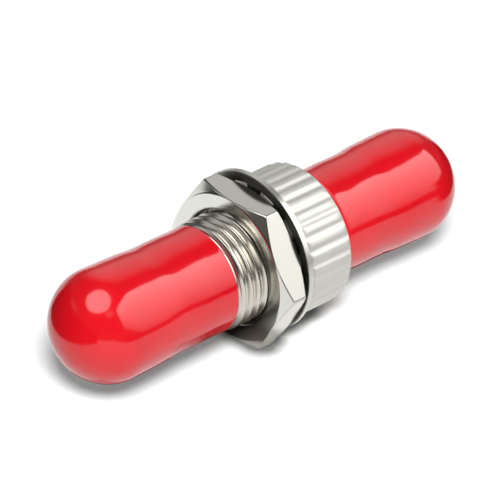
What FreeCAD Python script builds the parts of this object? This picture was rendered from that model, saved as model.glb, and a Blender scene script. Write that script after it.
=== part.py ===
"""Panel-mount adapter for two bayonet fibre plugs, with nut, lock washer and dust caps.

The optical axis is X, with the threaded shank towards -X and the knurled flange towards +X.
The origin is on the axis, in the flange's panel face. The nut lies on one flat, with +Z up.
"""
import FreeCAD, Part
import math
import os

# Panel thread and its shank, measured from the panel face
THREAD_D = 9.525
SHANK_LENGTH = 6.1
SHANK_CHAMFER = 0.4
RELIEF_WIDTH = 0.6
RELIEF_DEPTH = 0.45

# Knurled flange
FLANGE_D = 12.36
FLANGE_THICKNESS = 5.1
FLANGE_LEAD_LENGTH = 0.95
FLANGE_LEAD_DEPTH = 0.43
FLANGE_BACK_CHAMFER = 0.25
KNURL_COUNT = 32
KNURL_WIDTH = 0.5
KNURL_DEPTH = 0.24
KNURL_PHASE_DEG = 1.7

# Bayonet barrels, the same at both ends
BARREL_D = 7.0
BARREL_WALL = 0.75
BARREL_LENGTH = 8.6
BARREL_CHAMFER = 0.3
BORE_CHAMFER = 0.25
LUG_D = 1.8
LUG_HEIGHT = 0.7
LUG_FROM_END = 2.6
LUG_CHAMFER = 0.2
KEYWAY_WIDTH = 2.2
KEYWAY_LENGTH = 4.6

# Split alignment sleeve and its seat, midway between the two barrel ends
SLEEVE_BORE_D = 2.49
SLEEVE_WALL = 0.36
SLEEVE_LENGTH = 11.4
SLEEVE_SLOT = 0.5
SLEEVE_CHAMFER = 0.12
SLEEVE_RADIAL_FLOAT = 0.05
SLEEVE_END_FLOAT = 0.1
SEAT_LIP = 0.85
SEAT_TUBE_WALL = 0.5
SEAT_STEP = 0.25
SEAT_GROOVE_DEPTH = 1.4
FERRULE_ENTRY_D = 2.64
FERRULE_ENTRY_CHAMFER = 0.3

# Spigot of the threaded half, seated in the flange half with a shoulder against its panel face
SPIGOT_SHOULDER = 0.41
SPIGOT_LENGTH = 3.0

# Hexagon nut
NUT_ACROSS_FLATS = 13.0
NUT_THICKNESS = 2.5
NUT_TO_FLANGE = 0.82
NUT_FACE_RATIO = 0.99
NUT_CHAMFER_DEG = 30.0
NUT_COUNTERSINK = 0.3
THREAD_CLEARANCE = 0.05

# Internal-tooth lock washer, loose on the thread and standing on the level of the nut's flat
WASHER_D = 14.0
WASHER_THICKNESS = 0.45
WASHER_RING_WIDTH = 0.85
WASHER_CLEARANCE = 0.04
WASHER_TOOTH_COUNT = 12
WASHER_TOOTH_WIDTH = 1.5
WASHER_TOOTH_TWIST_DEG = 5.0

# Soft dust caps, with wall thicknesses over the bore that slips over the bayonet lugs
CAP_LENGTH = 14.8
CAP_LUG_CLEARANCE = 0.05
CAP_MOUTH_WALL = 0.42
CAP_NECK_WALL = 0.46
CAP_SHOULDER_WALL = 0.58
CAP_BODY_WALL = 0.66
CAP_TIP_WALL = 1.0
CAP_NECK_END = 5.4
CAP_SHOULDER_END = 7.0
CAP_DOME_LENGTH = 4.5
CAP_MOUTH_ROUND = 0.18
CAP_LEFT_STANDOFF = 0.03
CAP_RIGHT_STANDOFF = 1.1

X_AXIS = FreeCAD.Vector(1, 0, 0)
ORIGIN = FreeCAD.Vector(0, 0, 0)

# Values that follow from the driving sizes
thread_r = THREAD_D / 2
relief_r = thread_r - RELIEF_DEPTH
spigot_r = relief_r - SPIGOT_SHOULDER
flange_r = FLANGE_D / 2
barrel_r = BARREL_D / 2
barrel_bore_r = barrel_r - BARREL_WALL
lug_tip_r = barrel_r + LUG_HEIGHT
left_end = -(SHANK_LENGTH + BARREL_LENGTH)
right_end = FLANGE_THICKNESS + BARREL_LENGTH
middle = (left_end + right_end) / 2
sleeve_bore_r = SLEEVE_BORE_D / 2
sleeve_r = sleeve_bore_r + SLEEVE_WALL
seat_r = sleeve_r + SLEEVE_RADIAL_FLOAT
seat_half = SLEEVE_LENGTH / 2 + SLEEVE_END_FLOAT
seat_tube_r = seat_r + SEAT_TUBE_WALL
nut_right = -NUT_TO_FLANGE
nut_left = nut_right - NUT_THICKNESS
nut_flat = NUT_ACROSS_FLATS / 2


def point(x, radius):
    """A point of a turned outline: its station on the axis and its radius."""
    return FreeCAD.Vector(x, radius, 0)


def turned(edges):
    """Solid of revolution about the X axis from the edges of a closed half outline."""
    face = Part.Face(Part.Wire(Part.__sortEdges__(edges)))
    return face.revolve(ORIGIN, X_AXIS, 360)


def turned_polygon(outline):
    """Solid of revolution from (station, radius) corners."""
    corners = [point(x, radius) for x, radius in outline]
    return turned([Part.makeLine(a, b) for a, b in zip(corners, corners[1:] + corners[:1])])


def port_outline(end, inward):
    """Inside of one port, from the barrel's mouth in to the sleeve's seat; inward is +1 or -1 along X."""
    seat_stop = middle - inward * seat_half
    tube_face = seat_stop - inward * SEAT_LIP
    groove_floor = tube_face + inward * SEAT_GROOVE_DEPTH
    entry_r = FERRULE_ENTRY_D / 2
    return [
        (end, barrel_r - BARREL_CHAMFER),
        (end, barrel_bore_r + BORE_CHAMFER),
        (end + inward * BORE_CHAMFER, barrel_bore_r),
        (tube_face, barrel_bore_r),
        (tube_face, barrel_bore_r - SEAT_STEP),
        (groove_floor, barrel_bore_r - SEAT_STEP),
        (groove_floor, seat_tube_r),
        (tube_face, seat_tube_r),
        (tube_face, entry_r + FERRULE_ENTRY_CHAMFER),
        (tube_face + inward * FERRULE_ENTRY_CHAMFER, entry_r),
        (seat_stop, entry_r),
        (seat_stop, seat_r),
    ]


def with_bayonet(body, end, inward):
    """Adds the two lugs to a barrel and cuts the keyway in its mouth; inward is +1 or -1 along X."""
    lug_x = end + inward * LUG_FROM_END
    root_r = (barrel_r + barrel_bore_r) / 2
    straight = lug_tip_r - LUG_CHAMFER - root_r
    for side in (1, -1):
        outward = FreeCAD.Vector(0, side, 0)
        base = FreeCAD.Vector(lug_x, side * root_r, 0)
        stem = Part.makeCylinder(LUG_D / 2, straight, base, outward)
        tip = Part.makeCone(LUG_D / 2, LUG_D / 2 - LUG_CHAMFER, LUG_CHAMFER, base + outward * straight, outward)
        body = body.fuse(stem.fuse(tip))
    run = KEYWAY_LENGTH - KEYWAY_WIDTH / 2
    run_start = min(end, end + inward * run)
    round_end = FreeCAD.Vector(end + inward * run, 0, 0)
    slot = Part.makeBox(run, KEYWAY_WIDTH, BARREL_D, FreeCAD.Vector(run_start, -KEYWAY_WIDTH / 2, 0))
    slot = slot.fuse(Part.makeCylinder(KEYWAY_WIDTH / 2, BARREL_D, round_end))
    return body.cut(slot).removeSplitter()


def threaded_body():
    """Left half: barrel, threaded shank with end chamfer and relief, and the spigot."""
    shoulder = -SHANK_LENGTH
    outside = [
        (SPIGOT_LENGTH, seat_r),
        (SPIGOT_LENGTH, spigot_r),
        (0, spigot_r),
        (0, relief_r),
        (RELIEF_DEPTH / 2 - RELIEF_WIDTH, relief_r),
        (-RELIEF_WIDTH, thread_r),
        (shoulder + SHANK_CHAMFER, thread_r),
        (shoulder, thread_r - SHANK_CHAMFER),
        (shoulder, barrel_r),
        (left_end + BARREL_CHAMFER, barrel_r),
    ]
    return with_bayonet(turned_polygon(outside + port_outline(left_end, 1)), left_end, 1)


def knurl_grooves():
    """The straight grooves around the flange, as one shape of separate bars."""
    groove_r = KNURL_WIDTH / 2
    centre_r = flange_r + groove_r - KNURL_DEPTH
    bars = []
    for index in range(KNURL_COUNT):
        angle = math.radians(KNURL_PHASE_DEG + index * 360 / KNURL_COUNT)
        base = FreeCAD.Vector(0, -centre_r * math.cos(angle), centre_r * math.sin(angle))
        bars.append(Part.makeCylinder(groove_r, FLANGE_THICKNESS, base, X_AXIS))
    return Part.makeCompound(bars)


def flange_body():
    """Right half: knurled flange with its panel face, and the second barrel."""
    outside = [
        (SPIGOT_LENGTH, seat_r),
        (SPIGOT_LENGTH, spigot_r),
        (0, spigot_r),
        (0, flange_r - FLANGE_LEAD_DEPTH),
        (FLANGE_LEAD_LENGTH, flange_r),
        (FLANGE_THICKNESS - FLANGE_BACK_CHAMFER, flange_r),
        (FLANGE_THICKNESS, flange_r - FLANGE_BACK_CHAMFER),
        (FLANGE_THICKNESS, barrel_r),
        (right_end - BARREL_CHAMFER, barrel_r),
    ]
    blank = turned_polygon(outside + port_outline(right_end, -1))
    return with_bayonet(blank.cut(knurl_grooves()), right_end, -1)


def alignment_sleeve():
    """Thin tube with a slot along its whole length and eased ends."""
    start = middle - SLEEVE_LENGTH / 2
    end = middle + SLEEVE_LENGTH / 2
    tube = turned_polygon([
        (start, sleeve_bore_r + SLEEVE_CHAMFER),
        (start, sleeve_r - SLEEVE_CHAMFER),
        (start + SLEEVE_CHAMFER, sleeve_r),
        (end - SLEEVE_CHAMFER, sleeve_r),
        (end, sleeve_r - SLEEVE_CHAMFER),
        (end, sleeve_bore_r + SLEEVE_CHAMFER),
        (end - SLEEVE_CHAMFER, sleeve_bore_r),
        (start + SLEEVE_CHAMFER, sleeve_bore_r),
    ])
    slot = Part.makeBox(SLEEVE_LENGTH, SLEEVE_SLOT, sleeve_r, FreeCAD.Vector(start, -SLEEVE_SLOT / 2, 0))
    return tube.cut(slot)


def hex_nut():
    """Hexagon with both faces chamfered to a circle, flats at top and bottom, countersunk bore."""
    corner_r = NUT_ACROSS_FLATS / math.sqrt(3)
    corners = []
    for index in range(7):
        angle = math.radians(60 * index)
        corners.append(FreeCAD.Vector(nut_left, corner_r * math.cos(angle), corner_r * math.sin(angle)))
    prism = Part.Face(Part.makePolygon(corners)).extrude(X_AXIS * NUT_THICKNESS)
    bore_r = thread_r + THREAD_CLEARANCE
    face_r = nut_flat * NUT_FACE_RATIO
    blank_r = corner_r + NUT_COUNTERSINK
    chamfer_length = (blank_r - face_r) * math.tan(math.radians(NUT_CHAMFER_DEG))
    blank = turned_polygon([
        (nut_left, bore_r + NUT_COUNTERSINK),
        (nut_left, face_r),
        (nut_left + chamfer_length, blank_r),
        (nut_right - chamfer_length, blank_r),
        (nut_right, face_r),
        (nut_right, bore_r + NUT_COUNTERSINK),
        (nut_right - NUT_COUNTERSINK, bore_r),
        (nut_left + NUT_COUNTERSINK, bore_r),
    ])
    return prism.common(blank)


def lock_washer():
    """Ring with teeth pointing inward, each twisted a little, in the middle of the gap beside the nut."""
    half = WASHER_THICKNESS / 2
    outer_r = WASHER_D / 2
    root_r = outer_r - WASHER_RING_WIDTH
    lift = max(0, outer_r - nut_flat)
    tip_r = thread_r + lift + WASHER_CLEARANCE
    washer = Part.makeCylinder(outer_r, WASHER_THICKNESS, X_AXIS * -half, X_AXIS)
    washer = washer.cut(Part.makeCylinder(root_r, WASHER_THICKNESS, X_AXIS * -half, X_AXIS))
    reach = root_r + WASHER_RING_WIDTH / 2 - tip_r
    for index in range(WASHER_TOOTH_COUNT):
        corner = FreeCAD.Vector(-half, -WASHER_TOOTH_WIDTH / 2, tip_r)
        tooth = Part.makeBox(WASHER_THICKNESS, WASHER_TOOTH_WIDTH, reach, corner)
        tooth.rotate(ORIGIN, FreeCAD.Vector(0, 0, 1), WASHER_TOOTH_TWIST_DEG)
        tooth.rotate(ORIGIN, X_AXIS, index * 360 / WASHER_TOOTH_COUNT)
        washer = washer.fuse(tooth)
    washer.translate(FreeCAD.Vector(-NUT_TO_FLANGE / 2, 0, lift))
    return washer


def quarter_ellipse(x_wide, radius, x_tip):
    """Edge of a dome, an exact quarter ellipse from full radius at x_wide to the axis at x_tip."""
    curve = Part.BezierCurve()
    curve.setPoles([point(x_wide, radius), point(x_tip, radius), point(x_tip, 0)])
    curve.setWeight(2, math.sqrt(0.5))
    return curve.toShape()


def dust_cap():
    """One cap with its mouth at the origin and its dome towards +X."""
    bore_r = lug_tip_r + CAP_LUG_CLEARANCE
    mouth_r = bore_r + CAP_MOUTH_WALL
    body_r = bore_r + CAP_BODY_WALL
    dome_start = CAP_LENGTH - CAP_DOME_LENGTH
    inner_tip = CAP_LENGTH - CAP_TIP_WALL
    skirt = Part.BSplineCurve()
    skirt.interpolate([
        point(CAP_MOUTH_ROUND, mouth_r),
        point(CAP_NECK_END / 2, bore_r + CAP_NECK_WALL),
        point(CAP_NECK_END, bore_r + CAP_NECK_WALL),
        point(CAP_SHOULDER_END, bore_r + CAP_SHOULDER_WALL),
        point(dome_start, body_r),
    ], InitialTangent=X_AXIS, FinalTangent=X_AXIS)
    rim_start = point(0, mouth_r - CAP_MOUTH_ROUND)
    rim_bend = CAP_MOUTH_ROUND * (1 - math.sqrt(0.5))
    rim_middle = point(rim_bend, mouth_r - rim_bend)
    return turned([
        Part.makeLine(point(0, bore_r), rim_start),
        Part.Arc(rim_start, rim_middle, point(CAP_MOUTH_ROUND, mouth_r)).toShape(),
        skirt.toShape(),
        quarter_ellipse(dome_start, body_r, CAP_LENGTH),
        Part.makeLine(point(CAP_LENGTH, 0), point(inner_tip, 0)),
        quarter_ellipse(dome_start, bore_r, inner_tip),
        Part.makeLine(point(dome_start, bore_r), point(0, bore_r)),
    ])


def dust_cap_left():
    """Cap over the barrel on the threaded side, its mouth beside the shank's shoulder."""
    cap = dust_cap()
    cap.rotate(ORIGIN, FreeCAD.Vector(0, 0, 1), 180)
    cap.translate(X_AXIS * -(SHANK_LENGTH + CAP_LEFT_STANDOFF))
    return cap


def dust_cap_right():
    """Cap over the barrel on the flange side, pushed on to within a small gap of the flange."""
    cap = dust_cap()
    cap.translate(X_AXIS * (FLANGE_THICKNESS + CAP_RIGHT_STANDOFF))
    return cap


os.makedirs("parts", exist_ok=True)
for build in (threaded_body, flange_body, alignment_sleeve, hex_nut, lock_washer, dust_cap_left, dust_cap_right):
    shape = build()
    shape.exportStep("parts/" + build.__name__ + ".step")
    print(build.__name__, len(shape.Solids), "solid", round(shape.Volume, 2), "mm3", shape.isValid())
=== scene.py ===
"""Panel-mount fibre adapter with red dust caps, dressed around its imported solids."""
import math

import bmesh
import bpy
from mathutils import Matrix, Vector, noise


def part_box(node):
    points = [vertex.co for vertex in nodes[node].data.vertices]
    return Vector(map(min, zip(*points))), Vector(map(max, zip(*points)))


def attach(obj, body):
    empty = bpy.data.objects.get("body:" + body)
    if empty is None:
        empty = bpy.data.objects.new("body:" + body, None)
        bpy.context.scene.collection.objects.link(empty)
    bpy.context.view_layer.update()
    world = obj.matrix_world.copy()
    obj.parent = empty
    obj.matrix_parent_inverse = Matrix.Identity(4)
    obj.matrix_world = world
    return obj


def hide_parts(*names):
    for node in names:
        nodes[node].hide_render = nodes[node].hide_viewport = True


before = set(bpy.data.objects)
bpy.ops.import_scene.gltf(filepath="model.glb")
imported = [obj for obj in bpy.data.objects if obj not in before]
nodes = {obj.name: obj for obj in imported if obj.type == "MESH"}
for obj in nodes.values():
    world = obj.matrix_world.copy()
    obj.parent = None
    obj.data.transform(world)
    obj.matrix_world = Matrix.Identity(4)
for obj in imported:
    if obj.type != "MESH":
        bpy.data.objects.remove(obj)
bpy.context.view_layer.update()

# Sizes of the object are in millimetres, those of the studio in metres
MM = 0.001
FULL_TURN = 2 * math.pi
QUARTER_TURN = math.pi / 2

# Camera, fitted to the outlines of the caps, the nut and the flange; distance and offset in millimetres
CAMERA_AZIMUTH_DEG = 43.77
CAMERA_ELEVATION_DEG = 33.26
CAMERA_ROLL_DEG = 2.405
CAMERA_DISTANCE = 327.0
CAMERA_OFFSET = (0.541, -0.214)
CAMERA_LENS = 286.2
CAMERA_CLIP = (0.005, 10)
SENSOR_WIDTH = 36.0

# Meshing: tolerance of a place, weld distances, cosine beyond which a face is an end face
NEAR = 0.002
NODE_WELD = 0.0003
NUT_WELD = 0.0001
END_FACE_COSINE = 0.9999
# Angle beyond which an edge is sharp
TURNED_SHARP_DEG = 38
NUT_SHARP_DEG = 40
CAP_SHARP_DEG = 50

# Panel thread; the shank's own faces lie outside the cut radius
THREAD_R = 4.7625
THREAD_PITCH = 25.4 / 32
SHANK_LEFT = -6.1
SHANK_CHAMFER = 0.4
SHANK_RELIEF = -0.6
SHANK_RELIEF_SLOPE = 2
SHANK_RIGHT = -0.375
SHANK_CUT_R = 3.45
SHANK_COLUMNS = 160
# Spare turns of the thread, which its ends cut off: those before the shank, and all of them
SHANK_SPARE_TURNS = (2, 4)
# Points of the thread this close to an end of the shank join the ring of that end
SHANK_END_SNAP = 0.004
# One turn of the thread's profile: place in the turn, depth under the crest
THREAD_PROFILE = (
    (0.000, 0.035), (0.030, 0.004), (0.062, 0.000), (0.095, 0.004), (0.125, 0.035), (0.200, 0.128),
    (0.275, 0.220), (0.350, 0.312), (0.405, 0.376), (0.450, 0.400), (0.562, 0.400), (0.675, 0.400),
    (0.720, 0.376), (0.775, 0.312), (0.850, 0.220), (0.925, 0.128),
)

# Knurled flange; its own faces lie outside the cut radii, and past the barrel's start the half is barrel
FLANGE_R = 6.18
FLANGE_THICKNESS = 5.1
FLANGE_LEAD_LENGTH = 0.95
FLANGE_LEAD_DEPTH = 0.43
FLANGE_BACK_CHAMFER = 0.25
FLANGE_SIDE_CUT_R = 5.6
FLANGE_FRONT_CUT_R = 3.85
FLANGE_BACK_CUT_R = 3.45
FLANGE_LEAD_ROWS = 14
FLANGE_SIDE_ROWS = 6
FLANGE_BACK_ROWS = 6
BARREL_START = FLANGE_THICKNESS + 0.02
KNURL_COUNT = 32
KNURL_DEPTH = 0.15
KNURL_HALF_WIDTH = 0.50
KNURL_PHASE_DEG = 1.7
KNURL_STEPS = 12

# Hexagon nut
NUT_LEFT = -3.32
NUT_RIGHT = -0.82
NUT_FLAT_R = 6.5
NUT_FACE_R = 6.435
NUT_CHAMFER_SLOPE = math.tan(math.radians(30))
NUT_BORE_R = 4.8125
NUT_COUNTERSINK = 0.3
NUT_CORNER_ROUND = 0.28
NUT_EDGE_EASE = 0.11
# Columns of the mesh, as angles from a corner to the middle of a flat
NUT_COLUMN_DEG = (0, 0.5, 1.0, 1.5, 2.2, 3.5, 6, 10, 15, 20, 25)
NUT_MID_FLAT_DEG = 30
# Eased edges: most of a side that a curve takes, how far its supports stand off, places along it
EASE_SHARE = 0.3
EASE_SUPPORT = 1.5
EASE_PLACES = (0.0, 0.33, 0.67, 1.0)

# Dust caps, from the mouth at 0 to the tip of the dome
CAP_LENGTH = 14.8
CAP_BORE_R = 4.25
CAP_MOUTH_ROUND = 0.18
CAP_SKIRT = ((0.18, 4.67), (2.7, 4.71), (5.4, 4.71), (7.0, 4.83), (10.3, 4.91))
CAP_INNER_TIP = 13.8
CAP_COLUMNS = 128
CAP_MOUTH_ROWS = 4
CAP_SKIRT_ROWS = 44
CAP_DOME_ROWS = 27
CAP_INNER_DOME_ROWS = 14
CAP_BORE_ROWS = 8
CAP_LEFT_MOUTH = -6.13
CAP_RIGHT_MOUTH = 6.2
# How far the skin lies under the cap's nominal outside, and over what length that fades out at both ends
CAP_SKIN_DEPTH = 0.06
CAP_SKIN_FADE = 1.5
# Unevenness of the skin: scale along and around the cap, height, and where each cap's draw starts
CAP_NOISE_ALONG = 0.22
CAP_NOISE_AROUND = 1.3
CAP_NOISE_HEIGHT = 0.02
CAP_LEFT_SEED = 3.7
CAP_RIGHT_SEED = 9.2
# Swells and dents: distance from the mouth, angle from -Y towards +Z, half length, half angle, height
CAP_LEFT_SWELLS = ((4.9, 42, 1.3, 20, 0.05), (9.0, 38, 2.2, 22, -0.06), (2.2, 60, 1.6, 18, -0.03))
CAP_RIGHT_SWELLS = ((5.2, 30, 2.0, 20, -0.05), (8.6, 46, 1.6, 20, 0.05), (2.6, 52, 1.5, 18, 0.03))

# Vinyl and ceramic: places on a ramp and their colours
VINYL_TONES = ((0.3, (0.57, 0.004, 0.010, 1)), (0.7, (0.645, 0.006, 0.013, 1)))
VINYL_ROUGHNESS = (0.10, 0.17)
CERAMIC_TONES = ((0.0, (0.80, 0.79, 0.75, 1)), (1.0, (0.88, 0.87, 0.84, 1)))
# Nickel plate: roughness, darker painted-shade tint of the sides, lighter painted-light tint of the end faces
SHANK_NICKEL = ((0.16, 0.26), (0.54, 0.515, 0.46, 1), (0.64, 0.615, 0.56, 1))
FLANGE_NICKEL = ((0.52, 0.66), (0.585, 0.58, 0.545, 1), (0.65, 0.645, 0.605, 1))
NUT_NICKEL = ((0.12, 0.20), (0.50, 0.495, 0.45, 1), (0.68, 0.68, 0.645, 1))
# Tool marks along and across the axis, cloudiness, and where the painted shade of the sides goes over to the
# lighter end faces
NICKEL_MARKS = (6000.0, 200.0, 200.0)
NICKEL_CLOUD = 0.3
NICKEL_SHADE_FACING = (0.75, 1.15)
# Washer: painted shade of its faces, tint of its rim, and the band under the rim in which the one goes over to
# the other
STEEL_SHADE_AND_RIM_TONES = ((0.0, (0.15, 0.145, 0.135, 1)), (1.0, (0.56, 0.55, 0.52, 1)))
STEEL_RIM_BAND = (0.18, 0.04)
STEEL_ROUGHNESS = (0.26, 0.40)

# Studio
FLOOR_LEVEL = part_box("hex_nut")[0].z
FLOOR_HALF = 0.6
FLOOR_ALBEDO = 0.86
FLOOR_GLOW = 0.16
# Painted shade of the floor close to what stands on it: reach, free view from darkest to clear, darkest shade
CONTACT_REACH = 0.0015
CONTACT_FROM = (0.5, 0.98)
PAINTED_CONTACT_SHADE = 0.2
# Room, from the horizon upwards
ROOM_SHADES = ((0.0, (0.16, 0.15, 0.14, 1)), (0.7, (0.06, 0.058, 0.055, 1)))
# Soft glows of the room: direction, cosine of the reach, level
WORLD_GLOWS = (((0.58, 0.60, 0.55), 0.86, 0.80), ((-0.73, 0.65, 0.21), 0.92, 0.60))
# Energy of an area lamp for each unit of radiance and area
LAMP_ENERGY = 4
# Black cards that stand on the ground: direction from the object, distance, start and end across it, top,
# and whether the card also keeps soft light off the object
CARD_SHADES = ((0.0, (0.03, 0.03, 0.03, 1)), (1.0, (0.035, 0.035, 0.035, 1)))
CARD_SPAN = (-0.1, 0.1)
STANDING_CARDS = (
    ("front_card", (0.58, -0.81), 0.055, -0.12, 0.12, 0.0022, False),
    ("left_card", (-0.72, 0.69), 0.03, -0.0065, 0.075, 0.010, True),
    ("right_card", (0.9, -0.44), 0.034, -0.005, 0.03, 0.006, True),
)
# Painted shadow of the ground that the nut's lower sides and the caps' undersides mirror, shaded from left to
# right
PAINTED_FLOOR_SHADOW = (
    (0.00, (0.86, 0.86, 0.86, 1)), (0.38, (0.10, 0.085, 0.075, 1)), (0.68, (0.10, 0.085, 0.075, 1)),
    (0.73, (0.45, 0.44, 0.42, 1)), (1.00, (0.52, 0.51, 0.49, 1)),
)
LEFT_PAINTED_FLOOR_SHADOW = ((0.0, (0.60, 0.60, 0.60, 1)), (0.55, (0.04, 0.04, 0.04, 1)))
RIGHT_PAINTED_FLOOR_SHADOW = ((0.6, (0.04, 0.04, 0.04, 1)), (1.0, (0.60, 0.60, 0.60, 1)))
# Cards that lie just over the ground, with a painted shadow that only reflections show, in millimetres: left,
# right, front, back
LYING_CARD_LIFT = 0.02
LYING_CARDS = (
    ("ground_card", -9.5, -0.8, -5.2, 4.5, PAINTED_FLOOR_SHADOW),
    ("left_ground_card", -19.0, -9.5, -2.2, 3.0, LEFT_PAINTED_FLOOR_SHADOW),
    ("right_ground_card", 6.3, 20.0, -2.2, 3.0, RIGHT_PAINTED_FLOOR_SHADOW),
)

scene = bpy.context.scene
scene.view_settings.view_transform = "Standard"


def new_material(name):
    """A node material with its tree and its principled shader."""
    material = bpy.data.materials.new(name)
    material.use_nodes = True
    tree = material.node_tree
    shader = tree.nodes["Principled BSDF"]
    return material, tree, shader


def add(tree, kind, **inputs):
    """A node with some of its inputs set by name."""
    node = tree.nodes.new(kind)
    for key, value in inputs.items():
        node.inputs[key.replace("_", " ")].default_value = value
    return node


def add_math(tree, operation, kind="ShaderNodeMath"):
    """A node that does one operation on numbers, or on vectors."""
    node = tree.nodes.new(kind)
    node.operation = operation
    return node


def add_range(tree, low, high):
    """A node that spreads 0 to 1 between two values."""
    return add(tree, "ShaderNodeMapRange", To_Min=low, To_Max=high)


def add_ramp(tree, tones):
    """A colour ramp through places and their colours."""
    node = tree.nodes.new("ShaderNodeValToRGB")
    stops = node.color_ramp.elements
    while len(stops) < len(tones):
        stops.new(1.0)
    for stop, (place, colour) in zip(stops, tones):
        stop.position = place
        stop.color = colour
    return node


def red_vinyl():
    """Glossy dipped vinyl with a slightly uneven skin."""
    material, tree, shader = new_material("red_vinyl")
    coords = tree.nodes.new("ShaderNodeTexCoord")
    tone = add(tree, "ShaderNodeTexNoise", Scale=160.0, Detail=3.0, Roughness=0.55)
    ramp = add_ramp(tree, VINYL_TONES)
    grain = add(tree, "ShaderNodeTexNoise", Scale=420.0, Detail=2.0)
    bump = add(tree, "ShaderNodeBump", Strength=0.10, Distance=0.0002)
    rough = add_range(tree, *VINYL_ROUGHNESS)
    tree.links.new(coords.outputs["Object"], tone.inputs["Vector"])
    tree.links.new(coords.outputs["Object"], grain.inputs["Vector"])
    tree.links.new(tone.outputs["Fac"], ramp.inputs["Fac"])
    tree.links.new(ramp.outputs["Color"], shader.inputs["Base Color"])
    tree.links.new(grain.outputs["Fac"], bump.inputs["Height"])
    tree.links.new(grain.outputs["Fac"], rough.inputs["Value"])
    tree.links.new(rough.outputs["Result"], shader.inputs["Roughness"])
    tree.links.new(bump.outputs["Normal"], shader.inputs["Normal"])
    shader.inputs["Specular IOR Level"].default_value = 0.5
    shader.inputs["Coat Weight"].default_value = 0.08
    shader.inputs["Coat Roughness"].default_value = 0.08
    return material


def nickel_plate(name, roughness, side, face):
    """Nickel over turned brass, with fine tool marks around the axis and painted shade: sides darker than end
    faces.
    """
    material, tree, shader = new_material(name)
    coords = tree.nodes.new("ShaderNodeTexCoord")
    stretch = add(tree, "ShaderNodeMapping", Scale=NICKEL_MARKS)
    lines = add(tree, "ShaderNodeTexNoise", Scale=1.0, Detail=2.0)
    rough = add_range(tree, *roughness)
    # Painted light and shade by facing: sides take the darker tint, end faces the lighter one
    tint = add_ramp(tree, ((0.0, side), (1.0, face)))
    cloud = add(tree, "ShaderNodeTexNoise", Scale=220.0, Detail=3.0)
    split = tree.nodes.new("ShaderNodeSeparateXYZ")
    facing = add_math(tree, "ABSOLUTE")
    uneven = add_math(tree, "MULTIPLY_ADD")
    uneven.inputs[1].default_value = NICKEL_CLOUD
    spread = add(tree, "ShaderNodeMapRange", From_Min=NICKEL_SHADE_FACING[0], From_Max=NICKEL_SHADE_FACING[1])
    spread.interpolation_type = "SMOOTHSTEP"
    tree.links.new(coords.outputs["Object"], stretch.inputs["Vector"])
    tree.links.new(stretch.outputs["Vector"], lines.inputs["Vector"])
    tree.links.new(lines.outputs["Fac"], rough.inputs["Value"])
    tree.links.new(rough.outputs["Result"], shader.inputs["Roughness"])
    tree.links.new(coords.outputs["Object"], cloud.inputs["Vector"])
    tree.links.new(coords.outputs["Normal"], split.inputs["Vector"])
    tree.links.new(split.outputs["X"], facing.inputs[0])
    tree.links.new(cloud.outputs["Fac"], uneven.inputs[0])
    tree.links.new(facing.outputs[0], uneven.inputs[2])
    tree.links.new(uneven.outputs[0], spread.inputs["Value"])
    tree.links.new(spread.outputs["Result"], tint.inputs["Fac"])
    tree.links.new(tint.outputs["Color"], shader.inputs["Base Color"])
    shader.inputs["Metallic"].default_value = 1.0
    return material


def spring_steel():
    """Plated spring steel of the washer, bright on its rim, with painted shade on its faces between nut and
    flange.
    """
    material, tree, shader = new_material("spring_steel")
    low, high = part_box("lock_washer")
    rim = (high.z - low.z) / 2
    inner, outer = STEEL_RIM_BAND
    coords = tree.nodes.new("ShaderNodeTexCoord")
    around = add(tree, "ShaderNodeMapping", Location=(0, 0, -(low.z + high.z) / 2), Scale=(0, 1, 1))
    radius = add_math(tree, "LENGTH", "ShaderNodeVectorMath")
    # Painted shade: the faces inward of the rim take the dark tint, the rim keeps the plated tint
    reach = add(tree, "ShaderNodeMapRange", From_Min=rim - inner * MM, From_Max=rim - outer * MM)
    tint = add_ramp(tree, STEEL_SHADE_AND_RIM_TONES)
    cloud = add(tree, "ShaderNodeTexNoise", Scale=900.0, Detail=4.0)
    rough = add_range(tree, *STEEL_ROUGHNESS)
    tree.links.new(coords.outputs["Object"], around.inputs["Vector"])
    tree.links.new(around.outputs["Vector"], radius.inputs[0])
    tree.links.new(radius.outputs["Value"], reach.inputs["Value"])
    tree.links.new(reach.outputs["Result"], tint.inputs["Fac"])
    tree.links.new(tint.outputs["Color"], shader.inputs["Base Color"])
    tree.links.new(coords.outputs["Object"], cloud.inputs["Vector"])
    tree.links.new(cloud.outputs["Fac"], rough.inputs["Value"])
    tree.links.new(rough.outputs["Result"], shader.inputs["Roughness"])
    shader.inputs["Metallic"].default_value = 1.0
    return material


def zirconia():
    """Ground white ceramic."""
    material, tree, shader = new_material("zirconia")
    coords = tree.nodes.new("ShaderNodeTexCoord")
    cloud = add(tree, "ShaderNodeTexNoise", Scale=1200.0, Detail=3.0)
    tint = add_ramp(tree, CERAMIC_TONES)
    tree.links.new(coords.outputs["Object"], cloud.inputs["Vector"])
    tree.links.new(cloud.outputs["Fac"], tint.inputs["Fac"])
    tree.links.new(tint.outputs["Color"], shader.inputs["Base Color"])
    shader.inputs["Roughness"].default_value = 0.2
    return material


def dress(node, material):
    """Gives a CAD node its material."""
    obj = nodes[node]
    obj.data.materials.clear()
    obj.data.materials.append(material)


def new_object(name, data):
    """Object in the scene that shows some data."""
    obj = bpy.data.objects.new(name, data)
    scene.collection.objects.link(obj)
    return obj


def set_up(right, up, back, place):
    """Matrix of an object from its three axes and its place."""
    return Matrix((
        (right.x, up.x, back.x, place.x),
        (right.y, up.y, back.y, place.y),
        (right.z, up.z, back.z, place.z),
        (0, 0, 0, 1),
    ))


def polar(x, radius, angle):
    """Point in metres from a station on the axis and a radius in millimetres, and an angle from -Y towards +Z."""
    return Vector((x, -radius * math.cos(angle), radius * math.sin(angle))) * MM


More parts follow.
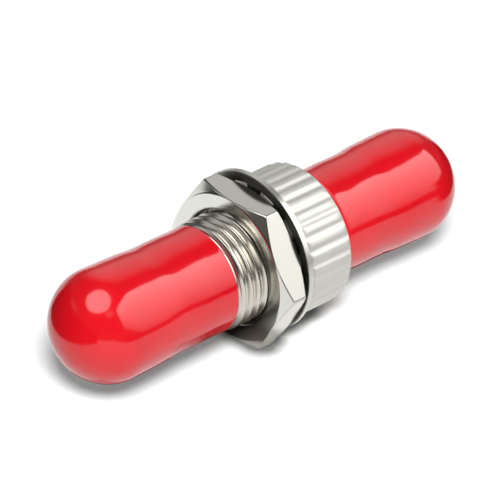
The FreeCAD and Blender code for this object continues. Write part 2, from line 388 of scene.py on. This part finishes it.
def piece(name, bm, material, node, body, sharp_deg):
    """Mesh object that stands for a CAD node and rides on its body."""
    bmesh.ops.recalc_face_normals(bm, faces=bm.faces)
    mesh = bpy.data.meshes.new(name)
    bm.to_mesh(mesh)
    bm.free()
    mesh.shade_smooth()
    mesh.set_sharp_from_angle(angle=math.radians(sharp_deg))
    for polygon in mesh.polygons:
        polygon.use_smooth = abs(polygon.normal.x) < END_FACE_COSINE
    mesh.materials.append(material)
    obj = new_object(name, mesh)
    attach(obj, body)
    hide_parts(node)
    return obj


def node_mesh(node):
    """Welded copy of a CAD node's mesh."""
    bm = bmesh.new()
    bm.from_mesh(nodes[node].data)
    bmesh.ops.remove_doubles(bm, verts=bm.verts, dist=NODE_WELD * MM)
    return bm


def cut_faces(bm, leaves):
    """Removes the faces whose corners, as stations and radii, pass a test; returns the open rims."""
    doomed = []
    for face in bm.faces:
        corners = [(v.co.x / MM, math.hypot(v.co.y, v.co.z) / MM) for v in face.verts]
        if leaves(corners):
            doomed.append(face)
    bmesh.ops.delete(bm, geom=doomed, context="FACES")
    return [edge for edge in bm.edges if edge.is_boundary]


def ring_edges(bm, ring):
    """Edges along a closed ring of vertices."""
    count = len(ring)
    return [bm.edges.get((ring[k], ring[(k + 1) % count])) for k in range(count)]


def skin(bm, rows):
    """Quads between closed rings of vertices; returns the edges of the first and last ring."""
    rings = [[bm.verts.new(co) for co in row] for row in rows]
    count = len(rings[0])
    for ring, following in zip(rings, rings[1:]):
        for k in range(count):
            n = (k + 1) % count
            bm.faces.new((ring[k], ring[n], following[n], following[k]))
    return ring_edges(bm, rings[0]), ring_edges(bm, rings[-1])


def rim_at(rims, x):
    """The rim edges at one station."""
    return [edge for edge in rims if all(abs(v.co.x / MM - x) < NEAR for v in edge.verts)]


def stitch(bm, ring, rim):
    """Triangles between two sets of edges that each run once around the axis, taken in order of angle."""

    def in_order(edges):
        turns = {}
        for vert in {vert for edge in edges for vert in edge.verts}:
            turns[vert] = math.atan2(vert.co.z, -vert.co.y) % FULL_TURN
        return sorted(turns.items(), key=lambda item: item[1])

    outer, inner = in_order(ring), in_order(rim)
    i = j = 0
    while i < len(outer) or j < len(inner):
        here, there = outer[i % len(outer)][0], inner[j % len(inner)][0]
        laps_out, next_out = divmod(i + 1, len(outer))
        laps_in, next_in = divmod(j + 1, len(inner))
        turn_out = outer[next_out][1] + FULL_TURN * laps_out
        turn_in = inner[next_in][1] + FULL_TURN * laps_in
        if j >= len(inner) or (i < len(outer) and turn_out <= turn_in):
            bm.faces.new((here, outer[next_out][0], there))
            i += 1
        else:
            bm.faces.new((here, inner[next_in][0], there))
            j += 1


def shank_radius(x, depth):
    """Thread under the end chamfer and the relief cone."""
    chamfer = THREAD_R - SHANK_CHAMFER + (x - SHANK_LEFT)
    relief = THREAD_R - SHANK_RELIEF_SLOPE * (x - SHANK_RELIEF)
    return min(THREAD_R - depth, chamfer, relief)


def threaded_half(material):
    """Left half with a right-hand thread cut on its shank."""
    bm = node_mesh("threaded_body")

    def outside_of_shank(corners):
        inside = all(SHANK_LEFT - NEAR < x < NEAR and r > SHANK_CUT_R for x, r in corners)
        return inside and not all(abs(x) < NEAR for x, r in corners)

    rims = cut_faces(bm, outside_of_shank)
    per_turn = len(THREAD_PROFILE)
    first = math.floor(SHANK_LEFT / THREAD_PITCH) - SHANK_SPARE_TURNS[0]
    turns = math.ceil((SHANK_RIGHT - SHANK_LEFT) / THREAD_PITCH) + SHANK_SPARE_TURNS[1]
    angles = [FULL_TURN * k / SHANK_COLUMNS for k in range(SHANK_COLUMNS)]
    low = [bm.verts.new(polar(SHANK_LEFT, shank_radius(SHANK_LEFT, 0), -a)) for a in angles]
    high = [bm.verts.new(polar(SHANK_RIGHT, shank_radius(SHANK_RIGHT, 0), -a)) for a in angles]
    made = {}

    def vertex(column, row):
        row += per_turn * (column // SHANK_COLUMNS)
        column %= SHANK_COLUMNS
        turn, place = divmod(row, per_turn)
        station, depth = THREAD_PROFILE[place]
        x = (first + turn + station + column / SHANK_COLUMNS) * THREAD_PITCH
        if x <= SHANK_LEFT + SHANK_END_SNAP:
            return low[column]
        if x >= SHANK_RIGHT - SHANK_END_SNAP:
            return high[column]
        if (column, row) not in made:
            made[column, row] = bm.verts.new(polar(x, shank_radius(x, depth), -angles[column]))
        return made[column, row]

    for column in range(SHANK_COLUMNS):
        for row in range(turns * per_turn):
            corners = []
            for across, along in ((0, 0), (0, 1), (1, 1), (1, 0)):
                v = vertex(column + across, row + along)
                if v not in corners:
                    corners.append(v)
            if len(corners) > 2:
                bm.faces.new(corners)
    for ring, x in ((low, SHANK_LEFT), (high, 0.0)):
        stitch(bm, ring_edges(bm, ring), rim_at(rims, x))
    piece("threaded_half", bm, material, "threaded_body", "adapter", TURNED_SHARP_DEG)


def flange_radius(x, angle):
    """Knurled flange between its lead cone and the chamfer of its back."""
    pitch = FULL_TURN / KNURL_COUNT
    off = (angle - math.radians(KNURL_PHASE_DEG) + pitch / 2) % pitch - pitch / 2
    across = abs(off) * FLANGE_R / KNURL_HALF_WIDTH
    groove = KNURL_DEPTH * (0.5 + 0.5 * math.cos(math.pi * across)) if across < 1 else 0.0
    lead = FLANGE_R - FLANGE_LEAD_DEPTH * (1 - x / FLANGE_LEAD_LENGTH)
    back = FLANGE_R - FLANGE_BACK_CHAMFER + (FLANGE_THICKNESS - x)
    return min(FLANGE_R - groove, lead, back)


def rows_between(start, length, count):
    """Stations after a start, in equal steps over a length."""
    return [start + length * k / count for k in range(1, count + 1)]


def flange_half(material, barrel_material):
    """Right half with soft-edged straight knurling and a brighter barrel."""
    bm = node_mesh("flange_body")

    def outside_of_flange(corners):
        if all(-NEAR < x < FLANGE_THICKNESS + NEAR and r > FLANGE_SIDE_CUT_R for x, r in corners):
            return True
        if all(abs(x) < NEAR and r > FLANGE_FRONT_CUT_R for x, r in corners):
            return True
        return all(abs(x - FLANGE_THICKNESS) < NEAR and r > FLANGE_BACK_CUT_R for x, r in corners)

    rims = cut_faces(bm, outside_of_flange)
    back_start = FLANGE_THICKNESS - FLANGE_BACK_CHAMFER
    stations = [0.0]
    stations += rows_between(0.0, FLANGE_LEAD_LENGTH, FLANGE_LEAD_ROWS)
    stations += rows_between(FLANGE_LEAD_LENGTH, back_start - FLANGE_LEAD_LENGTH, FLANGE_SIDE_ROWS)
    stations += rows_between(back_start, FLANGE_BACK_CHAMFER, FLANGE_BACK_ROWS)
    count = KNURL_COUNT * KNURL_STEPS
    angles = [math.radians(KNURL_PHASE_DEG) + FULL_TURN * k / count for k in range(count)]
    rows = [[polar(x, flange_radius(x, a), a) for a in angles] for x in stations]
    first, last = skin(bm, rows)
    stitch(bm, first, rim_at(rims, 0.0))
    stitch(bm, last, rim_at(rims, FLANGE_THICKNESS))
    half = piece("flange_half", bm, material, "flange_body", "adapter", TURNED_SHARP_DEG)
    half.data.materials.append(barrel_material)
    for polygon in half.data.polygons:
        polygon.material_index = int(polygon.center.x > BARREL_START * MM)


def hexagon_radius(angle):
    """Hexagon with eased corners, with flats at top and bottom."""
    half_side = math.pi / 6
    off = abs((angle + half_side) % (math.pi / 3) - half_side)
    centre = (NUT_FLAT_R - NUT_CORNER_ROUND) / math.cos(half_side)
    touch = math.atan2(NUT_CORNER_ROUND / 2, centre + NUT_CORNER_ROUND * math.cos(half_side))
    if off < touch:
        return centre * math.cos(off) + math.sqrt(NUT_CORNER_ROUND ** 2 - (centre * math.sin(off)) ** 2)
    return NUT_FLAT_R / math.cos(half_side - off)


def eased(corners, ease):
    """Closed outline with each corner replaced by a short curve between two supports."""
    points = []
    count = len(corners)
    for k, corner in enumerate(corners):
        here = Vector(corner)
        before = Vector(corners[k - 1]) - here
        after = Vector(corners[(k + 1) % count]) - here
        reach = min(ease, EASE_SHARE * before.length, EASE_SHARE * after.length)
        start = here + before.normalized() * reach
        end = here + after.normalized() * reach
        points.append(here + before.normalized() * reach * EASE_SUPPORT)
        for t in EASE_PLACES:
            points.append(start * (1 - t) ** 2 + here * 2 * t * (1 - t) + end * t ** 2)
        points.append(here + after.normalized() * reach * EASE_SUPPORT)
    return points


def nut_piece(material):
    """Panel nut with chamfered faces and worn edges."""
    bm = bmesh.new()
    before_corner = [-d for d in reversed(NUT_COLUMN_DEG[1:])]
    offsets = before_corner + list(NUT_COLUMN_DEG) + [NUT_MID_FLAT_DEG]
    angles = [math.radians(60 * corner + d) for corner in range(6) for d in offsets]
    columns = []
    for angle in angles:
        side = hexagon_radius(angle)
        chamfer = (side - NUT_FACE_R) * NUT_CHAMFER_SLOPE
        columns.append(eased([
            (NUT_LEFT + NUT_COUNTERSINK, NUT_BORE_R),
            (NUT_LEFT, NUT_BORE_R + NUT_COUNTERSINK),
            (NUT_LEFT, NUT_FACE_R),
            (NUT_LEFT + chamfer, side),
            (NUT_RIGHT - chamfer, side),
            (NUT_RIGHT, NUT_FACE_R),
            (NUT_RIGHT, NUT_BORE_R + NUT_COUNTERSINK),
            (NUT_RIGHT - NUT_COUNTERSINK, NUT_BORE_R),
        ], NUT_EDGE_EASE))
    rows = []
    for points in zip(*columns):
        rows.append([polar(x, radius, angle) for (x, radius), angle in zip(points, angles)])
    skin(bm, rows + rows[:1])
    bmesh.ops.remove_doubles(bm, verts=bm.verts, dist=NUT_WELD * MM)
    piece("panel_nut", bm, material, "hex_nut", "nut", NUT_SHARP_DEG)


def skirt_radius(s):
    """Outside of a cap from its mouth to the start of the dome, a smooth curve through a few sizes."""
    for k in range(len(CAP_SKIRT) - 1):
        (s0, r0), (s1, r1) = CAP_SKIRT[k], CAP_SKIRT[k + 1]
        if s <= s1 or k == len(CAP_SKIRT) - 2:
            break

    def slope(index):
        if index in (0, len(CAP_SKIRT) - 1):
            return 0.0
        (a, ra), (b, rb) = CAP_SKIRT[index - 1], CAP_SKIRT[index + 1]
        return (rb - ra) / (b - a)

    t = (s - s0) / (s1 - s0)
    run = s1 - s0
    value = (2 * t ** 3 - 3 * t ** 2 + 1) * r0 + (t ** 3 - 2 * t ** 2 + t) * run * slope(k)
    return value + (-2 * t ** 3 + 3 * t ** 2) * r1 + (t ** 3 - t ** 2) * run * slope(k + 1)


def cap_outline():
    """Stations and radii of a cap, outside from the mouth to the tip, then inside back to the mouth."""
    outside = []
    mouth_r = CAP_SKIRT[0][1]
    for k in range(CAP_MOUTH_ROWS, -1, -1):
        turn = QUARTER_TURN * k / CAP_MOUTH_ROWS
        sink = CAP_MOUTH_ROUND * (1 - math.cos(turn))
        outside.append((CAP_MOUTH_ROUND * (1 - math.sin(turn)), mouth_r - sink))
    dome_start, body_r = CAP_SKIRT[-1]
    for s in rows_between(CAP_MOUTH_ROUND, dome_start - CAP_MOUTH_ROUND, CAP_SKIRT_ROWS):
        outside.append((s, skirt_radius(s)))
    for k in range(1, CAP_DOME_ROWS):
        turn = QUARTER_TURN * k / CAP_DOME_ROWS
        outside.append((dome_start + (CAP_LENGTH - dome_start) * math.sin(turn), body_r * math.cos(turn)))
    inside = []
    for k in range(1, CAP_INNER_DOME_ROWS):
        turn = QUARTER_TURN * (1 - k / CAP_INNER_DOME_ROWS)
        s = dome_start + (CAP_INNER_TIP - dome_start) * math.sin(turn)
        inside.append((s, CAP_BORE_R * math.cos(turn)))
    inside += [(dome_start * (1 - k / CAP_BORE_ROWS), CAP_BORE_R) for k in range(CAP_BORE_ROWS + 1)]
    return outside, inside


def cap_piece(name, node, body, mouth, toward, seed, swells, material):
    """Soft cap whose outside is a little uneven, as dipped vinyl is."""
    bm = bmesh.new()
    outside, inside = cap_outline()
    angles = [FULL_TURN * k / CAP_COLUMNS for k in range(CAP_COLUMNS)]

    def sink(s, angle):
        around = CAP_NOISE_AROUND * math.cos(angle), CAP_NOISE_AROUND * math.sin(angle) + seed
        rise = CAP_NOISE_HEIGHT * noise.noise(Vector((s * CAP_NOISE_ALONG, *around)))
        for place, degrees, length, width, height in swells:
            off = (math.degrees(angle) - degrees + 180) % 360 - 180
            rise += height * math.exp(-((s - place) / length) ** 2 - (off / width) ** 2)
        fade = min(1.0, s / CAP_SKIN_FADE) * min(1.0, (CAP_LENGTH - s) / CAP_SKIN_FADE)
        return max(0.0, fade * (CAP_SKIN_DEPTH - rise))

    outer_rows = [[polar(mouth + toward * s, r - sink(s, a), a) for a in angles] for s, r in outside]
    inner_rows = [[polar(mouth + toward * s, r, a) for a in angles] for s, r in inside]
    tip = bm.verts.new(polar(mouth + toward * CAP_LENGTH, 0, 0))
    inner_tip = bm.verts.new(polar(mouth + toward * CAP_INNER_TIP, 0, 0))
    outer_mouth, outer_end = skin(bm, outer_rows)
    for edge in outer_end:
        bm.faces.new((edge.verts[0], edge.verts[1], tip))
    inner_end, inner_mouth = skin(bm, inner_rows)
    for edge in inner_end:
        bm.faces.new((edge.verts[0], edge.verts[1], inner_tip))
    bmesh.ops.bridge_loops(bm, edges=outer_mouth + inner_mouth)
    cap = piece(name, bm, material, node, body, CAP_SHARP_DEG)
    # The photo's shadow is grey, so the caps throw no red light on the ground
    cap.visible_diffuse = False


def sheet(name, corners):
    """Object of one four-cornered face."""
    mesh = bpy.data.meshes.new(name)
    mesh.from_pydata(corners, [], [(0, 1, 2, 3)])
    return new_object(name, mesh)


def studio_floor():
    """White ground that keeps the object's shadow, with a painted shade close to what stands on it."""
    h, z = FLOOR_HALF, FLOOR_LEVEL
    floor = sheet("floor", [(-h, -h, z), (h, -h, z), (h, h, z), (-h, h, z)])
    material, tree, shader = new_material("floor")
    tree.nodes.remove(shader)
    path = tree.nodes.new("ShaderNodeLightPath")
    seen = add_math(tree, "ADD")
    seen_more = add_math(tree, "ADD")
    seen_more.use_clamp = True
    glow = add_math(tree, "MULTIPLY")
    glow.inputs[1].default_value = FLOOR_GLOW
    # Painted contact shadow: the floor's colour and glow are darker where things stand close over it
    near = add(tree, "ShaderNodeAmbientOcclusion", Distance=CONTACT_REACH)
    painted_contact = add(
        tree, "ShaderNodeMapRange", From_Min=CONTACT_FROM[0], From_Max=CONTACT_FROM[1], To_Min=PAINTED_CONTACT_SHADE
    )
    albedo = add_math(tree, "MULTIPLY")
    albedo.inputs[1].default_value = FLOOR_ALBEDO
    dimmed = add_math(tree, "MULTIPLY")
    diffuse = tree.nodes.new("ShaderNodeBsdfDiffuse")
    emission = tree.nodes.new("ShaderNodeEmission")
    both = tree.nodes.new("ShaderNodeAddShader")
    tree.links.new(path.outputs["Is Camera Ray"], seen.inputs[0])
    tree.links.new(path.outputs["Is Glossy Ray"], seen.inputs[1])
    tree.links.new(seen.outputs[0], seen_more.inputs[0])
    tree.links.new(path.outputs["Is Transmission Ray"], seen_more.inputs[1])
    tree.links.new(seen_more.outputs[0], glow.inputs[0])
    tree.links.new(near.outputs["AO"], painted_contact.inputs["Value"])
    tree.links.new(painted_contact.outputs["Result"], albedo.inputs[0])
    tree.links.new(albedo.outputs[0], diffuse.inputs["Color"])
    tree.links.new(glow.outputs[0], dimmed.inputs[0])
    tree.links.new(painted_contact.outputs["Result"], dimmed.inputs[1])
    tree.links.new(dimmed.outputs[0], emission.inputs["Strength"])
    tree.links.new(diffuse.outputs[0], both.inputs[0])
    tree.links.new(emission.outputs[0], both.inputs[1])
    tree.links.new(both.outputs[0], tree.nodes["Material Output"].inputs["Surface"])
    floor.data.materials.append(material)


def card(name, corners, left, right, shades):
    """Card that only reflections show, shaded from its left end to its right end."""
    obj = sheet(name, corners)
    material, tree, shader = new_material(name)
    coords = tree.nodes.new("ShaderNodeTexCoord")
    split = tree.nodes.new("ShaderNodeSeparateXYZ")
    along = add(tree, "ShaderNodeMapRange", From_Min=left, From_Max=right)
    ramp = add_ramp(tree, shades)
    tree.links.new(coords.outputs["Object"], split.inputs["Vector"])
    tree.links.new(split.outputs["X"], along.inputs["Value"])
    tree.links.new(along.outputs["Result"], ramp.inputs["Fac"])
    tree.links.new(ramp.outputs["Color"], shader.inputs["Base Color"])
    shader.inputs["Roughness"].default_value = 0.9
    shader.inputs["Specular IOR Level"].default_value = 0.0
    obj.data.materials.append(material)
    obj.visible_camera = False
    obj.visible_diffuse = False
    obj.visible_shadow = False
    obj.visible_transmission = False
    return obj


def standing_card(name, direction, distance, start, end, top, dims):
    """Black card that stands on the ground in a direction from the object, between two places across it."""
    toward = Vector((direction[0], direction[1], 0)).normalized()
    across = Vector((-toward.y, toward.x, 0))
    low = toward * distance + Vector((0, 0, FLOOR_LEVEL))
    high = toward * distance + Vector((0, 0, top))
    corners = [low + across * start, low + across * end, high + across * end, high + across * start]
    card(name, corners, *CARD_SPAN, CARD_SHADES).visible_diffuse = dims


def lying_card(name, left, right, front, back, shades):
    """Card that lies on the ground, with a painted shadow of the ground that only reflections show."""
    level = FLOOR_LEVEL + LYING_CARD_LIFT * MM
    places = ((left, front), (right, front), (right, back), (left, back))
    corners = [Vector((x * MM, y * MM, level)) for x, y in places]
    card(name, corners, left * MM, right * MM, shades)


def studio_world():
    """Dim room around the set, with its glows."""
    world = bpy.data.worlds.new("studio")
    world.use_nodes = True
    scene.world = world
    tree = world.node_tree
    coords = tree.nodes.new("ShaderNodeTexCoord")
    split = tree.nodes.new("ShaderNodeSeparateXYZ")
    ramp = add_ramp(tree, ROOM_SHADES)
    tree.links.new(coords.outputs["Generated"], split.inputs["Vector"])
    tree.links.new(split.outputs["Z"], ramp.inputs["Fac"])
    light = ramp.outputs["Color"]
    for direction, reach, level in WORLD_GLOWS:
        aim = add_math(tree, "DOT_PRODUCT", "ShaderNodeVectorMath")
        aim.inputs[1].default_value = direction
        glow = add(tree, "ShaderNodeMapRange", From_Min=reach, From_Max=1.0, To_Max=level)
        glow.interpolation_type = "SMOOTHSTEP"
        total = add_math(tree, "ADD", "ShaderNodeVectorMath")
        tree.links.new(coords.outputs["Generated"], aim.inputs[0])
        tree.links.new(aim.outputs["Value"], glow.inputs["Value"])
        tree.links.new(light, total.inputs[0])
        tree.links.new(glow.outputs["Result"], total.inputs[1])
        light = total.outputs["Vector"]
    tree.links.new(light, tree.nodes["Background"].inputs["Color"])


def softbox(name, place, tall, width, height, radiance, shape="RECTANGLE", out=None):
    """Area lamp with its height along tall; it faces the object, unless a direction is given for its back."""
    lamp = bpy.data.lights.new(name, "AREA")
    lamp.shape = shape
    lamp.size = width
    lamp.size_y = height
    area = width * height * (math.pi / 4 if shape == "ELLIPSE" else 1)
    lamp.energy = radiance * LAMP_ENERGY * area
    obj = new_object(name, lamp)
    place = Vector(place)
    out = Vector(out or place).normalized()
    across = Vector(tall).cross(out).normalized()
    obj.matrix_world = set_up(across, out.cross(across), out, place)
    return obj


def grade(obj, low, high):
    """Makes a lamp dimmer at its lower edge than at its upper edge."""
    obj.data.use_nodes = True
    tree = obj.data.node_tree
    geometry = tree.nodes.new("ShaderNodeNewGeometry")
    split = tree.nodes.new("ShaderNodeSeparateXYZ")
    level = add_range(tree, low, high)
    tree.links.new(geometry.outputs["Parametric"], split.inputs["Vector"])
    tree.links.new(split.outputs["Y"], level.inputs["Value"])
    tree.links.new(level.outputs["Result"], tree.nodes["Emission"].inputs["Strength"])


def studio_lamps():
    """Two lamps that only reflections show, and a fill that no reflection shows."""
    side = softbox(
        "side_box", place=(0.099, -0.276, 0.216), tall=(0, 0.6, 0.8), width=0.55, height=0.37, radiance=1.0,
        out=(0.766, -0.488, 0.366),
    )
    grade(side, low=0.46, high=3.88)
    disc = softbox(
        "top_disc", place=(-0.195, 0.02, 0.459), tall=(0, 1, 0), width=0.44, height=0.44, radiance=3.3,
        shape="ELLIPSE",
    )
    fill = softbox(
        "fill", place=(-0.48, -0.60, 0.93), tall=(0, 1, 0), width=0.40, height=0.40, radiance=38.7,
        shape="ELLIPSE",
    )
    side.visible_diffuse = False
    disc.visible_diffuse = False
    fill.visible_glossy = False


def photo_camera():
    """Camera at the photograph's angle, with the axis offset from the image's middle."""
    azimuth = math.radians(CAMERA_AZIMUTH_DEG)
    elevation = math.radians(CAMERA_ELEVATION_DEG)
    roll = math.radians(CAMERA_ROLL_DEG)
    flat = math.cos(elevation)
    back = Vector((-math.sin(azimuth) * flat, -math.cos(azimuth) * flat, math.sin(elevation)))
    level = Vector((math.cos(azimuth), -math.sin(azimuth), 0))
    rise = back.cross(level)
    right = math.cos(roll) * level + math.sin(roll) * rise
    up = -math.sin(roll) * level + math.cos(roll) * rise
    place = (back * CAMERA_DISTANCE - right * CAMERA_OFFSET[0] - up * CAMERA_OFFSET[1]) * MM
    data = bpy.data.cameras.new("camera")
    data.lens = CAMERA_LENS
    data.sensor_fit = "HORIZONTAL"
    data.sensor_width = SENSOR_WIDTH
    data.clip_start, data.clip_end = CAMERA_CLIP
    camera = new_object("camera", data)
    camera.matrix_world = set_up(right, up, back, place)
    scene.camera = camera


vinyl = red_vinyl()
shank_nickel = nickel_plate("nickel_plate_shank", *SHANK_NICKEL)
flange_nickel = nickel_plate("nickel_plate_flange", *FLANGE_NICKEL)
nut_nickel = nickel_plate("nickel_plate_nut", *NUT_NICKEL)
for node, material in (
    ("dust_cap_left", vinyl), ("dust_cap_right", vinyl), ("threaded_body", shank_nickel),
    ("flange_body", flange_nickel), ("hex_nut", nut_nickel), ("lock_washer", spring_steel()),
    ("alignment_sleeve", zirconia()),
):
    dress(node, material)
threaded_half(shank_nickel)
flange_half(flange_nickel, shank_nickel)
nut_piece(nut_nickel)
cap_piece("cap_left", "dust_cap_left", "cap_left", CAP_LEFT_MOUTH, -1, CAP_LEFT_SEED, CAP_LEFT_SWELLS, vinyl)
cap_piece("cap_right", "dust_cap_right", "cap_right", CAP_RIGHT_MOUTH, 1, CAP_RIGHT_SEED, CAP_RIGHT_SWELLS, vinyl)

studio_floor()
for settings in STANDING_CARDS:
    standing_card(*settings)
# Painted shadow of the ground, seen only in reflections
for settings in LYING_CARDS:
    lying_card(*settings)
studio_world()
studio_lamps()
photo_camera()
